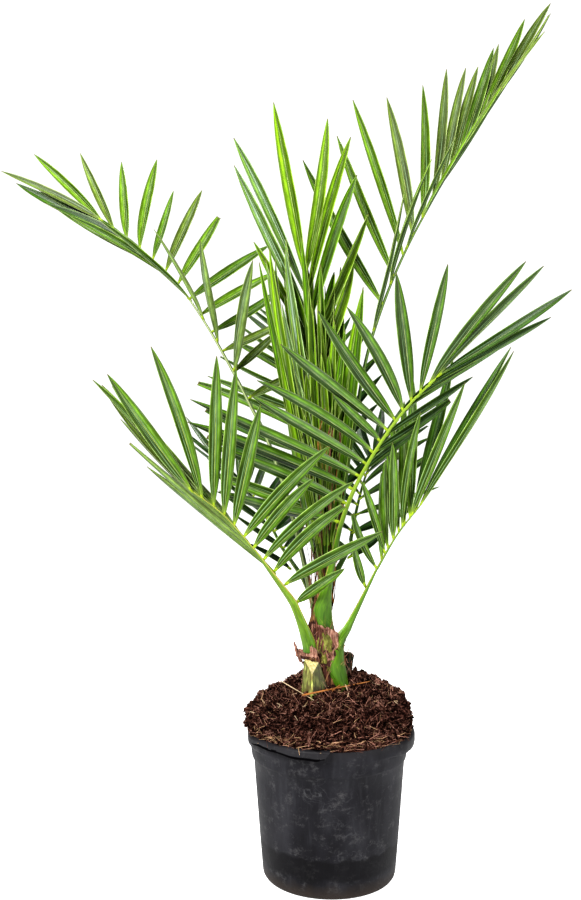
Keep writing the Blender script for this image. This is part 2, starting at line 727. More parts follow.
# Each sheath goes from one azimuth to the other, from its low to its high edge, leans from
# the one radius to the other, and its upper edge slants and is torn.
SHEATHS = [
    # from, to, low, high, radius low, radius high, torn, slant, finish
    (-129, -73, 0.2540, 0.2880, 0.0315, 0.0322, 0.0030, -0.0045, 1),
    (-116, -86, 0.2575, 0.2820, 0.0324, 0.0329, 0.0060, -0.003, 2),
    (-128, -104, 0.2540, 0.2860, 0.0327, 0.0332, 0.0060, 0.004, 3),
    (-141, -116, 0.2600, 0.2930, 0.0316, 0.0320, 0.0040, 0.002, 3),
    (-112, -70, 0.2430, 0.2640, 0.0318, 0.0325, 0.0060, 0.003, 3),
    (-104, -78, 0.2500, 0.2600, 0.0324, 0.0330, 0.0070, -0.004, 1),
    (-108, -97, 0.2470, 0.2570, 0.0330, 0.0338, 0.0040, 0.001, 2),
    (-128, -112, 0.2500, 0.2620, 0.0365, 0.0380, 0.0060, 0.001, 0),
    (-158, -110, 0.2530, 0.2610, 0.0375, 0.0392, 0.0040, -0.0015, 1),
    (-150, -108, 0.2490, 0.2570, 0.0362, 0.0380, 0.0050, 0.0, 3),
    (-136, -112, 0.2540, 0.2665, 0.0392, 0.0402, 0.0070, 0.001, 1),
    (-172, -150, 0.2440, 0.2600, 0.0350, 0.0385, 0.0050, -0.003, 1),
    (-168, -156, 0.2500, 0.2655, 0.0380, 0.0408, 0.0040, -0.003, 1),
    (-139, -111, 0.2860, 0.3180, 0.0300, 0.0262, 0.0070, 0.006, 0),
    (-131, -117, 0.2880, 0.3260, 0.0306, 0.0250, 0.0080, 0.004, 0),
    (-108, -60, 0.2200, 0.2480, 0.0300, 0.0300, 0.0070, 0.0, 3),
    (-88, -62, 0.2180, 0.2400, 0.0310, 0.0300, 0.0090, -0.005, 0),
    (-62, -30, 0.2120, 0.2560, 0.0225, 0.0210, 0.0080, 0.0, 0),
    (-36, 50, 0.2120, 0.2520, 0.0205, 0.0200, 0.0100, 0.0, 0),
    (45, 120, 0.2140, 0.2600, 0.0235, 0.0225, 0.0100, 0.0, 1),
    (115, 185, 0.2120, 0.2580, 0.0245, 0.0235, 0.0100, 0.0, 0),
    (-185, -140, 0.2120, 0.2440, 0.0285, 0.0290, 0.0080, 0.0, 0),
    (20, 110, 0.2480, 0.2760, 0.0215, 0.0180, 0.0120, 0.0, 0),
    (100, 200, 0.2480, 0.2800, 0.0230, 0.0190, 0.0120, 0.0, 3),
    (60, 170, 0.2700, 0.3050, 0.0190, 0.0130, 0.0120, 0.0, 0),
]
pieces = []
for k, (start, end, low, high, low_reach, high_reach, torn, slant, slot) in enumerate(SHEATHS):

    def place(u, v):
        turn = math.radians(start + (end - start) * u)
        edge = noise.noise(Vector((u * 9 + k * 7, 0, 3)))
        edge = edge + 0.6 * noise.noise(Vector((u * 26 + k * 5, 2, 0)))
        top = high + slant * (2 * u - 1) + torn * (edge - 0.15) - torn * (2 * u - 1) ** 4
        foot = low + 0.4 * torn * noise.noise(Vector((u * 12 + k * 4, 9, 3)))
        height = foot + (top - foot) * v
        reach = low_reach + (high_reach - low_reach) * v
        reach += 0.0016 * noise.noise(Vector((u * 7 + k * 3, v * 3, 1)))
        reach += 0.0022 * ease(v, 0.8, 1) * noise.noise(Vector((u * 15 + k, 4, 4)))
        behind = ease(math.sin(turn), -0.5, 0.3)
        aside = STEM_SHIFT * behind * ease(height, LEAN_FROM, LEAN_TO)
        return (reach * math.cos(turn) - aside, reach * math.sin(turn), height)

    sheath = skin_of(f"sheath {k}", 26, 12, place)
    dress(sheath, SHEATH_FINISHES.values(), slot)
    thicken(sheath, SHEATH_THICKNESS)
    pieces.append(sheath)
finish_piece(join_pieces("torn_sheaths", pieces), "sheath_fibre", "fibre_sheath")

# Loose strands stand off the sheaths and lie across them, and others run up between the
# petioles above.
placings = []
for i in range(STRANDS):
    if i % 3:
        turn = math.radians(chance.uniform(-165, -60) if i % 3 == 1 else chance.uniform(-180, 180))
        height = chance.uniform(0.214, 0.286 if i % 3 == 1 else 0.256)
        front = 0.5 + 0.5 * math.cos(turn + math.radians(112))
        reach = 0.0210 + 0.0110 * front + chance.uniform(-0.001, 0.0022)
        reach -= (1 - front) * 0.15 * max(0, height - 0.25)
        place = around(turn, reach, height)
        place.x -= STEM_SHIFT * (1 - front) * ease(height, LEAN_FROM, LEAN_TO)
        leaning = 0.55
    else:
        height = chance.uniform(0.288, 0.425)
        turn = math.radians(chance.uniform(-165, -112))
        reach = chance.uniform(0.010, 0.022) - 0.05 * (height - 0.288)
        centre = Vector((-0.0085 + 0.03 * (height - 0.288), 0.0, 0))
        place = centre + around(turn, reach, height)
        leaning = 0.22
    way = Vector((0, 0, 1)) * chance.choice((1, 1, -1))
    way = way + sideways_of(turn) * chance.gauss(0, leaning)
    way += around(turn) * chance.uniform(-0.12, 0.22)
    length = 0.005 + 0.019 * chance.random() ** 1.5
    thick = 0.00016 + 0.00034 * chance.random() ** 2
    strand = thread(chance, place, way.normalized(), thick, length)
    placings.append((*strand, chance.randrange(4)))
SHEATH_STRAND = plain_finish("sheath strand", (0.30, 0.17, 0.075), 0.75)
strands = strew(
    "sheath_strands", thread_shapes, placings, [BROWN_FIBRE, RED_FIBRE, SHEATH_STRAND, DARK_FIBRE]
)
finish_piece(strands, "sheath_fibre")


def olive_stub():
    made = Finish("olive cut stub", 0.55)
    strands = made.grain(520, 3, (1, 1, 0.05), 0.6)
    made.colour = made.ramp(
        strands, (0.35, (0.070, 0.080, 0.014)), (0.5, (0.19, 0.215, 0.036)),
        (0.66, (0.42, 0.43, 0.12)),
    )
    made.cover((0.085, 0.050, 0.014), made.grain(120, 3), (0.42, 0), (0.62, 0.75))
    # It is keeled: a pale facet to the left, a bright worn edge, and a dark facet to the right.
    made.shade(
        made.over(made.axis("X"), -0.040, 0.010),
        (0.12, 0.95), (0.36, 1.05), (0.38, 2.2), (0.42, 0.40), (0.70, 0.42), (0.80, 1.0),
    )
    return made.done(strands, 0.5, 0.0006)


CUT_FACE = fibrous(
    "pale cut face", (0.46, 0.36, 0.10), (0.72, 0.62, 0.27), (0.83, 0.76, 0.45), (1, 1, 1), 500, 0.3
)
STUB_FOOT = [
    (-0.0340, -0.0265), (-0.0295, -0.0365), (-0.0205, -0.0490), (-0.0085, -0.0420),
    (0.0035, -0.0335), (-0.0020, -0.0200), (-0.0150, -0.0140), (-0.0290, -0.0170),
]
STUB_TOP = [
    (-0.0290, -0.0280, 0.2505), (-0.0250, -0.0345, 0.2440), (-0.0205, -0.0400, 0.2360),
    (-0.0158, -0.0370, 0.2440), (-0.0125, -0.0330, 0.2495), (-0.0100, -0.0230, 0.2480),
    (-0.0170, -0.0180, 0.2490), (-0.0270, -0.0200, 0.2500),
]
SIDES = len(STUB_TOP)
bpy.ops.mesh.primitive_cylinder_add(vertices=SIDES, radius=1, depth=1)
stub = bpy.context.object
stub.name = stub.data.name = "cut_leaf_stub"
for point in stub.data.vertices:
    side = round(azimuth(point.co) / 45 + 4) % SIDES
    point.co = (*STUB_FOOT[side], 0.2000) if point.co.z < 0 else STUB_TOP[side]
edit((bpy.ops.mesh.normals_make_consistent, {"inside": False}))
stub.data.materials.append(olive_stub())
stub.data.materials.append(CUT_FACE)
for face in stub.data.polygons:
    if len(face.vertices) == SIDES and face.center.z > 0.23:
        face.material_index = 1
apply_modifier(stub, "BEVEL", width=0.0007, segments=2)

bpy.ops.mesh.primitive_cube_add(size=1, location=(0.0210, -0.004, 0.2380))
back_stub = bpy.context.object
back_stub.scale = (0.009, 0.012, 0.030)
back_stub.rotation_euler = (math.radians(4), math.radians(9), math.radians(18))
bpy.ops.object.transform_apply(location=True, rotation=True, scale=True)
back_stub.data.materials.append(
    fibrous("blackened stub", (0.004, 0.005, 0.002), (0.022, 0.026, 0.010), (0.14, 0.14, 0.075))
)
apply_modifier(back_stub, "BEVEL", width=0.0018, segments=3)
finish_piece(join_pieces("leaf_stubs", [stub, back_stub]), "leaf_base", "cut_stub")


# ---------------------------------------------------------------- frond ribs
# Eight open fronds and the bundle of unopened ones stand on green petioles whose clasping
# feet, with thin pale margins, wrap the stem. Each narrows to a slender rib that carries a
# yellow-green cushion at the foot of every leaflet.


def row(count, first, spread, lift, length):
    """One row of leaflets: how many, where along the rib they start, and at even stations
    from the first to the last their angle off the rib, their lift out of the frond's
    plane (both in degrees) and their length."""
    return {"count": count, "first": first, "spread": spread, "lift": lift, "length": length}


# Each frond lies in an upright plane. bearing is that plane's direction seen from above,
# in degrees from +X to +Y. foot is where it stands, and rib gives its reach and height.
# The front row of leaflets is the one on the side of -Y.
FRONDS = {
    "upper_left": {
        "bearing": 162, "foot": (-0.013, 0.012),
        "rib": [(0, 0.245), (0.010, 0.33), (0.036, 0.43), (0.061, 0.499), (0.079, 0.533),
                (0.105, 0.581), (0.148, 0.651), (0.196, 0.709), (0.284, 0.777)],
        "front": row(10, 0.57, (54, 36, 24, 14, 10, 12), (60, 30, -40, -50, -55, -55),
                     (0.145, 0.12, 0.16, 0.15, 0.15, 0.155)),
        "back": row(13, 0.51, (84, 73, 88, 84, 88, 86, 65, 61, 58, 56, 42, 26, 6),
                    (58, 60, 60, 60, 60, 60, 80),
                    (0.075, 0.08, 0.095, 0.11, 0.115, 0.13, 0.11, 0.13, 0.11, 0.145, 0.125,
                     0.125, 0.14)),
    },
    "upper_right": {
        "bearing": 17, "foot": (0.005, 0.014),
        "rib": [(0, 0.245), (0.001, 0.33), (0.010, 0.42), (0.027, 0.52), (0.046, 0.612),
                (0.086, 0.714), (0.144, 0.817), (0.201, 0.906)],
        "front": row(8, 0.55, (38, 45, 50, 40, 8), (26, 20, 12, 10, 0),
                     (0.175, 0.15, 0.14, 0.14, 0.15)),
        "back": row(12, 0.60, (50, 45, 43, 38, 28, 24, 17, 15, 14, 14, 8, 0),
                    (75, 80, 80, 75, 80, 90),
                    (0.20, 0.185, 0.20, 0.175, 0.17, 0.17, 0.16, 0.14, 0.15, 0.135, 0.155,
                     0.175)),
    },
    "lower_left": {
        "bearing": 206, "foot": (-0.019, -0.009),
        "rib": [(0, 0.245), (0.014, 0.293), (0.033, 0.330), (0.071, 0.373), (0.111, 0.416),
                (0.148, 0.443)],
        "front": row(11, 0.28, (69, 84, 79, 82, 73, 78, 51, 49, 49, 34, 18),
                     (30, 50, 52, 60, 60, 60),
                     (0.09, 0.145, 0.12, 0.145, 0.115, 0.145, 0.145, 0.17, 0.175, 0.185, 0.16)),
        "back": row(8, 0.45, (22, 15, 10, 22, 15), (-12, -10, -4, 50, 65),
                    (0.19, 0.20, 0.185, 0.175, 0.16)),
    },
    "lower_right": {
        "bearing": -14, "foot": (0.016, -0.009),
        "rib": [(0, 0.245), (0.003, 0.277), (0.014, 0.311), (0.032, 0.340), (0.061, 0.390),
                (0.089, 0.426)],
        "front": row(7, 0.44, (50, 56, 34, 26, 12), (56, 60, 60, 60, 40),
                     (0.06, 0.085, 0.115, 0.15, 0.2)),
        "back": row(8, 0.62, (36, 38, 42, 38, 9), (62, 66, 74, 78, 78),
                    (0.105, 0.105, 0.135, 0.165, 0.205)),
    },
    "front_right": {
        "bearing": -32, "foot": (-0.006, -0.012),
        "rib": [(0, 0.245), (0, 0.291), (0.010, 0.361), (0.031, 0.428), (0.065, 0.486),
                (0.102, 0.532), (0.140, 0.566)],
        "front": row(14, 0.445, (88, 84, 88, 88, 82, 82, 74, 80, 67, 64, 47, 34, 10, 2),
                     (44, 50, 40, 40, 40, 40, 30),
                     (0.15, 0.18, 0.205, 0.215, 0.16, 0.165, 0.085, 0.165, 0.165, 0.145, 0.155,
                      0.155, 0.165, 0.16)),
        "back": row(8, 0.62, (30, 26, 18, 15, 12), (-30, -35, -40, -45, -60),
                    (0.085, 0.115, 0.135, 0.135, 0.165)),
    },
    "back_high": {
        "bearing": 101, "foot": (-0.0055, 0.0205),
        "rib": [(0, 0.245), (0.012, 0.33), (0.045, 0.44), (0.100, 0.54), (0.165, 0.615),
                (0.225, 0.655)],
        "front": row(12, 0.35, (62, 60, 58, 45, 10), (-5, -10, 5, 20, 10),
                     (0.14, 0.168, 0.12, 0.10, 0.11)),
        "back": row(12, 0.35, (50, 46, 44, 38, 10), (25, 28, 25, 25, 10),
                    (0.12, 0.15, 0.13, 0.115, 0.12)),
    },
    "back_low": {
        "bearing": 70, "foot": (0.0130, 0.0220),
        "rib": [(0, 0.245), (0.016, 0.31), (0.050, 0.38), (0.100, 0.44), (0.155, 0.48)],
        "front": row(8, 0.40, (46, 64, 38, 34, 10), (-10, -8, -5, 10, 10),
                     (0.055, 0.115, 0.128, 0.115, 0.12)),
        "back": row(10, 0.44, (66, 60, 50, 40, 10), (0, 5, 10, 15, 10),
                    (0.07, 0.085, 0.10, 0.11, 0.13)),
    },
    "back_left": {
        "bearing": 138, "foot": (-0.0185, 0.0225),
        "rib": [(0, 0.245), (0.014, 0.30), (0.050, 0.37), (0.100, 0.43), (0.150, 0.465)],
        "front": row(9, 0.38, (66, 60, 50, 38, 10), (10, 15, 20, 25, 10),
                     (0.08, 0.10, 0.095, 0.09, 0.10)),
        "back": row(9, 0.48, (66, 60, 50, 40, 10), (0, 5, 10, 15, 10),
                    (0.07, 0.085, 0.10, 0.11, 0.12)),
    },
    "spear": {
        "bearing": 180, "foot": (0.0, 0.002),
        "rib": [(0, 0.245), (0.006, 0.35), (0.010, 0.46), (0.018, 0.58), (0.028, 0.69)],
        "front": row(9, 0.45, (9, 9, 10, 10, 12, 25, 19, 18, 6),
                     (-50, -60, -70, -75, -80, -85, -85, -88, -90),
                     (0.14, 0.15, 0.15, 0.15, 0.14, 0.14, 0.20, 0.205, 0.205)),
        "back": row(9, 0.45, (9, 10, 12, 14, 26, 28, 23, 21, 14),
                    (40, 50, 60, 70, 75, 80, 85, 90, 90),
                    (0.14, 0.15, 0.15, 0.15, 0.14, 0.175, 0.185, 0.195, 0.185)),
    },
}

PETIOLE_RADIUS = 0.0056
RIB_TIP_RADIUS = 0.0014
SPEAR_RADII = (0.0075, 0.0022)
CROWDING = 0.85  # under 1: the leaflets stand closer towards the tip


def smooth_through(points, steps=6):
    """A Catmull-Rom curve through the points."""
    ends = [2 * points[0] - points[1], *points, 2 * points[-1] - points[-2]]
    curve = []
    for p0, p1, p2, p3 in zip(ends, ends[1:], ends[2:], ends[3:]):
        bend = 2 * p0 - 5 * p1 + 4 * p2 - p3
        swing = 3 * p1 - p0 - 3 * p2 + p3
        for k in range(steps):
            u = k / steps
            curve.append(0.5 * (2 * p1 + (p2 - p0) * u + bend * u**2 + swing * u**3))
    return [*curve, points[-1].copy()]


class Rib:
    """A frond's midline, with the directions along it, across it and out of its face."""

    def __init__(self, frond):
        bearing = math.radians(frond["bearing"])
        self.outward = around(bearing)
        self.across = sideways_of(bearing)
        foot = Vector((*frond["foot"], 0))
        self.points = smooth_through(
            [foot + self.outward * reach + Vector((0, 0, z)) for reach, z in frond["rib"]]
        )
        self.travel = [0.0]
        for a, b in zip(self.points, self.points[1:]):
            self.travel.append(self.travel[-1] + (b - a).length)

    def at(self, share):
        target = share * self.travel[-1]
        i = 0
        while i < len(self.travel) - 2 and self.travel[i + 1] < target:
            i += 1
        step = self.travel[i + 1] - self.travel[i]
        return self.points[i].lerp(self.points[i + 1], (target - self.travel[i]) / step)

    def axes(self, share):
        along = (self.at(min(1, share + 0.02)) - self.at(max(0, share - 0.02))).normalized()
        out = along.cross(self.across).normalized()
        return along, (out if out.z > 0 else -out)


def between(stations, share):
    """The value at share of the way through evenly spaced stations."""
    place = share * (len(stations) - 1)
    i = min(int(place), len(stations) - 2)
    return stations[i] + (stations[i + 1] - stations[i]) * (place - i)


def leaflets_of(frond, side):
    """Foot, tip, upper face's direction and share of the rib of each leaflet of one row."""
    rib = Rib(frond)
    looks = frond[side]
    to_front = -1 if rib.across.y > 0 else 1
    turn = to_front if side == "front" else -to_front
    found = []
    for i in range(looks["count"]):
        share = i / (looks["count"] - 1)
        place = looks["first"] + (1 - looks["first"]) * share**CROWDING
        spread = math.radians(between(looks["spread"], share))
        lift = math.radians(between(looks["lift"], share))
        along, out = rib.axes(place)
        sideways = rib.across * turn * math.cos(lift) + out * math.sin(lift)
        upper = out * math.cos(lift) - rib.across * turn * math.sin(lift)
        direction = along * math.cos(spread) + sideways * math.sin(spread)
        foot = rib.at(place)
        found.append((foot, foot + direction * between(looks["length"], share), upper, place))
    return found


def rib_radius(share, base, tip):
    return tip + (base - tip) * (1 - share) ** 1.4


def rib_finish(name, side, face, margin, foot, upper=None):
    """A waxy rib: its sides, its face and its thin margins, read from the skin's own map."""
    made = Finish(name, 0.36, 0.3, mapped=True)
    across, along = made.axis("X"), made.axis("Y")
    # A stalk has a darker hollow down its face, and its round back is shaded to one side.
    made.colour = made.ramp(
        across, (0.0, margin), (0.025, scaled(face, 1.25)), (0.25, scaled(face, 0.7)),
        (0.475, face), (0.50, margin), (0.535, scaled(side, 1.3)), (0.64, side),
        (0.80, scaled(side, 0.62)), (0.93, scaled(side, 1.1)), (0.985, margin), (1.0, margin),
    )
    fine = made.grain(9, 4, (4, 1.2, 1), 0.6)
    streaks = made.ramp(fine, (0.32, 0.55), (0.68, 1.25))
    made.colour = made.blend(1.0, made.colour, streaks, "MULTIPLY")
    # Blotches of yellow, and the deeper green of the foot, which fades out upwards.
    blotched = made.ramp(made.grain(7, 3, (2, 3, 1)), (0.50, 0.0), (0.68, 0.55))
    made.cover(scaled(face, 1.4), blotched)
    if upper:
        lit = made.blend(1.0, streaks, upper, "MULTIPLY")
        made.cover(lit, along, (0.30, 0.0), (0.46, 0.85))
    deep = made.blend(blotched, foot, (foot[0] * 2.2, foot[1] * 1.35, foot[2]))
    deep = made.blend(1.0, deep, streaks, "MULTIPLY")
    made.cover(deep, along, (0.02, 0.75), (0.10, 0.45), (0.26, 0.0))
    made.cover(
        margin, across, (0.0, 0.9), (0.02, 0.0), (0.485, 0.0), (0.50, 0.9), (0.515, 0.0),
        (0.975, 0.0), (0.99, 0.9),
    )
    return made.done(fine, 0.25, 0.0004)


RIB_FINISHES = {
    "green": rib_finish(
        "petiole green", (0.098, 0.215, 0.008), (0.100, 0.215, 0.010), (0.56, 0.44, 0.12),
        (0.036, 0.125, 0.004),
    ),
    "lit": rib_finish(
        "petiole and lit rib", (0.098, 0.215, 0.008), (0.100, 0.215, 0.010), (0.56, 0.44, 0.12),
        (0.036, 0.125, 0.004), (0.30, 0.46, 0.030),
    ),
    "yellow": rib_finish(
        "yellow-green rib", (0.165, 0.290, 0.016), (0.135, 0.245, 0.014), (0.56, 0.42, 0.12),
        (0.034, 0.125, 0.004),
    ),
    "pale": rib_finish(
        "pale grey-green rib", (0.25, 0.33, 0.135), (0.20, 0.28, 0.10), (0.46, 0.50, 0.24),
        (0.075, 0.150, 0.014),
    ),
    "dark": rib_finish(
        "shaded rib", (0.070, 0.160, 0.014), (0.050, 0.12, 0.010), (0.28, 0.34, 0.07),
        (0.045, 0.10, 0.010),
    ),
}
CUSHION = plain_finish("yellow-green leaflet cushion", (0.30, 0.42, 0.022), 0.5, 0.25)

# For each frond: its finish, the petiole's size as a share of the solid's own, and the stations
# of its clasping foot, from the lowest up: the height, the place in X and Y, the half width.
# Above the last one the petiole passes over to its rib.
PETIOLES = {
    "upper_left": (
        "pale", 0.95, [(0.245, -0.0130, 0.0080, 0.0105), (0.300, -0.0160, 0.0090, 0.0068)]
    ),
    "upper_right": (
        "dark", 0.95, [(0.245, -0.0010, 0.0120, 0.0105), (0.320, -0.0010, 0.0120, 0.0062)]
    ),
    "lower_left": ("yellow", 0.92, [
        (0.256, -0.0232, -0.0300, 0.0076), (0.266, -0.0243, -0.0300, 0.0082),
        (0.277, -0.0272, -0.0290, 0.0072), (0.290, -0.0315, -0.0270, 0.0060),
        (0.306, -0.0378, -0.0250, 0.0052), (0.321, -0.0458, -0.0240, 0.0050),
    ]),
    "lower_right": ("green", 0.84, [
        (0.202, 0.0170, -0.0290, 0.0070), (0.218, 0.0148, -0.0300, 0.0078),
        (0.230, 0.0112, -0.0310, 0.0104),
        (0.244, 0.0086, -0.0310, 0.0114), (0.257, 0.0098, -0.0290, 0.0102),
        (0.271, 0.0130, -0.0265, 0.0084), (0.284, 0.0200, -0.0225, 0.0062),
        (0.298, 0.0266, -0.0175, 0.0048),
    ]),
    "front_right": ("lit", 1.15, [
        (0.262, -0.0085, -0.0245, 0.0118), (0.286, -0.0085, -0.0250, 0.0120),
        (0.297, -0.0081, -0.0250, 0.0114), (0.309, -0.0070, -0.0250, 0.0100),
        (0.322, -0.0052, -0.0245, 0.0076), (0.340, -0.0018, -0.0230, 0.0054),
    ]),
    "back_high": (
        "dark", 0.95, [(0.245, -0.0055, 0.0185, 0.0105), (0.300, -0.0065, 0.0185, 0.0060)]
    ),
    "back_low": ("dark", 0.80, [(0.245, 0.0010, 0.0180, 0.0100), (0.320, 0.0005, 0.0200, 0.0050)]),
    "back_left": (
        "dark", 0.80, [(0.245, -0.0120, 0.0180, 0.0100), (0.315, -0.0190, 0.0240, 0.0046)]
    ),
    "spear": ("yellow", 1.0, [(0.245, -0.0040, 0.0000, 0.0120), (0.320, -0.0060, 0.0010, 0.0082)]),
}
PASSAGE = 0.045  # over this height a foot's own path passes into the rib
RIB_STATIONS = 26
RIB_SIDES = 20
CUSHION_LENGTH = 0.0042
bpy.ops.mesh.primitive_ico_sphere_add(subdivisions=2, radius=1)
cushion_shape = take_shape(bpy.context.object)


def petiole_path(rib, feet, thick, thin):
    """Stations from the foot to the tip, each a place and a half width in one vector."""
    stations = [Vector((x, y, z, half)) for z, x, y, half in feet]
    for k in range(RIB_STATIONS):
        share = (k / (RIB_STATIONS - 1)) ** 1.1
        centre = rib.at(share)
        if centre.z > feet[-1][0] + PASSAGE:
            stations.append(Vector((*centre, rib_radius(share, thick, thin))))
    return smooth_through(stations, 3)


for name, frond in FRONDS.items():
    finish, size, feet = PETIOLES[name]
    rib = Rib(frond)
    thick, thin = SPEAR_RADII if name == "spear" else (PETIOLE_RADIUS, RIB_TIP_RADIUS)
    thick, thin = thick * size, thin * size
    path = petiole_path(rib, feet, thick, thin)
    last = len(path) - 1
    # The foot lies flat against the stem, and turns into the frond's own plane above it.
    side_on = Vector((feet[0][1] * 0.35, feet[0][2], 0)).normalized()
    if name.startswith(("upper", "back", "spear")):
        side_on = rib.outward
    round_stem = Vector((-side_on.y, side_on.x, 0))

    def place(u, v):
        level = round(v * last)
        centre, half = path[level].xyz, path[level].w
        ahead = (path[min(last, level + 1)].xyz - path[max(0, level - 1)].xyz).normalized()
        turned = ease(centre.z, feet[0][0] + 0.01, feet[-1][0] + PASSAGE)
        outward = side_on.lerp(rib.outward, turned)
        inward = (ahead * ahead.dot(outward) - outward).normalized()
        across = inward.cross(ahead)
        if across.dot(round_stem.lerp(rib.across, turned)) < 0:
            across = -across
        flare = ease(half, thick * 0.95, thick * 1.9) if centre.z < feet[-1][0] + 0.01 else 0
        deep = min(half, thick) * (0.92 - 0.25 * flare)
        sideways, depth = math.cos(math.tau * u), math.sin(math.tau * u)
        close = 1 if 0 < level < last else 0.02
        upper = 0.42 if depth > 0 else 1.0
        groove = 0.30 * math.exp(-(sideways / 0.35) ** 2) if depth > 0 else 0
        wrap = flare * 0.55 * half * sideways**2
        return (
            centre
            + across * sideways * half * close
            + inward * (deep * depth * upper - deep * groove * 0.5 + wrap) * close
        )

    skin = skin_of(name + "_rachis", RIB_SIDES, last, place)
    edit(
        (bpy.ops.mesh.remove_doubles, {"threshold": 0.00002}),
        (bpy.ops.mesh.fill_holes, {"sides": 0}),
        (bpy.ops.mesh.normals_make_consistent, {"inside": False}),
    )
    finishes = [RIB_FINISHES[finish], CUSHION]
    for made in finishes:
        skin.data.materials.append(made)
    if name != "spear":
        placings = []
        for foot, tip, _, share in leaflets_of(frond, "front") + leaflets_of(frond, "back"):
            way = (tip - foot).normalized()
            girth = rib_radius(share, thick, thin)
            wide = 0.0009 + 0.32 * girth
            cushion = standing(foot + way * girth * 1.1, way, (wide, wide, CUSHION_LENGTH))
            placings.append((0, cushion, 1))
        cushions = strew(name + " cushions", [cushion_shape], placings, finishes)
        skin = join_pieces(name + "_rachis", [skin, cushions])
    finish_piece(skin, "young_leaf" if name == "spear" else "frond_rib", name + "_rib")


# ---------------------------------------------------------------- leaflets
# The leaflets are stiff, narrow blades folded lengthwise into a shallow trough, with a pale
# midline, fine parallel veins and thin light margins. Most end in a sharp point, and a few
# are blunt or broken. Each is a copy of one flat blade, laid and folded on its own.

BLADE_COLUMNS = (-1.0, -0.56, -0.13, 0.0, 0.13, 0.56, 1.0)
BLADE_STEPS = 18
LEAFLET_THICKNESS = 0.00045
LEAFLET_GAP = 0.0022  # from the rib's midline to the foot of a leaflet
BLUNT_SHARE = 0.10  # how many of the leaflets end bluntly
BLADE_OUTLINE = (
    (0.0, 0.22), (0.04, 0.36), (0.10, 0.60), (0.18, 0.82), (0.28, 0.95), (0.40, 1.0),
    (0.52, 0.97), (0.64, 0.88), (0.75, 0.74), (0.85, 0.54), (0.92, 0.35), (0.97, 0.16), (1.0, 0.03),
)


def blade_width(share):
    """The outline's half width at share, from the foot to the tip."""
    for (a, low), (b, high) in zip(BLADE_OUTLINE, BLADE_OUTLINE[1:]):
        if share <= b:
            return low + (high - low) * (share - a) / (b - a)
    return BLADE_OUTLINE[-1][1]


def leaf_finish(name, blade, midline, margin, foot, rough, shine=0.10, wax=0.55):
    """A blade's colour across and along it, from its own map: u across, v from foot to tip."""
    made = Finish(name, rough, shine, mapped=True)
    bright, dull, shaded = scaled(blade, 1.65), scaled(blade, 0.50), scaled(blade, 0.26)
    made.colour = made.ramp(
        made.axis("X"),
        (0.0, margin), (0.028, margin), (0.055, blade), (0.22, bright), (0.40, bright),
        (0.474, shaded), (0.488, midline), (0.512, midline), (0.526, shaded), (0.60, dull),
        (0.82, dull), (0.945, blade), (0.972, margin), (1.0, margin),
    )
    veins = made.grain(11, 3, (2.2, 0.08, 1), 0.6)
    made.shade(veins, (0.34, 0.52), (0.5, 0.96), (0.66, 1.42))
    made.shade(made.grain(6, 1, (1, 0.06, 1), 0.5), (0.36, 0.66), (0.64, 1.25))
    made.shade(made.grain(3.2, 3, (1, 2.6, 1), 0.6), (0.36, 0.58), (0.64, 1.20))
    # Streaks of pale wax lie along some of its length.
    red, green, blue = midline
    waxy = (0.16 + 0.5 * red, 0.30 + 0.5 * green, 0.22 + 0.5 * blue)
    made.cover(waxy, made.grain(7, 2, (1.7, 0.16, 1)), (0.52, 0.0), (0.65, wax))
    # The foot is yellow, and the very tip is dry.
    along = made.axis("Y")
    made.cover(foot, along, (0.0, 0.9), (0.09, 0.0))
    made.cover((0.16, 0.10, 0.045), along, (0.972, 0.0), (0.99, 0.85))
    return made.done(veins, 0.35, 0.0004)


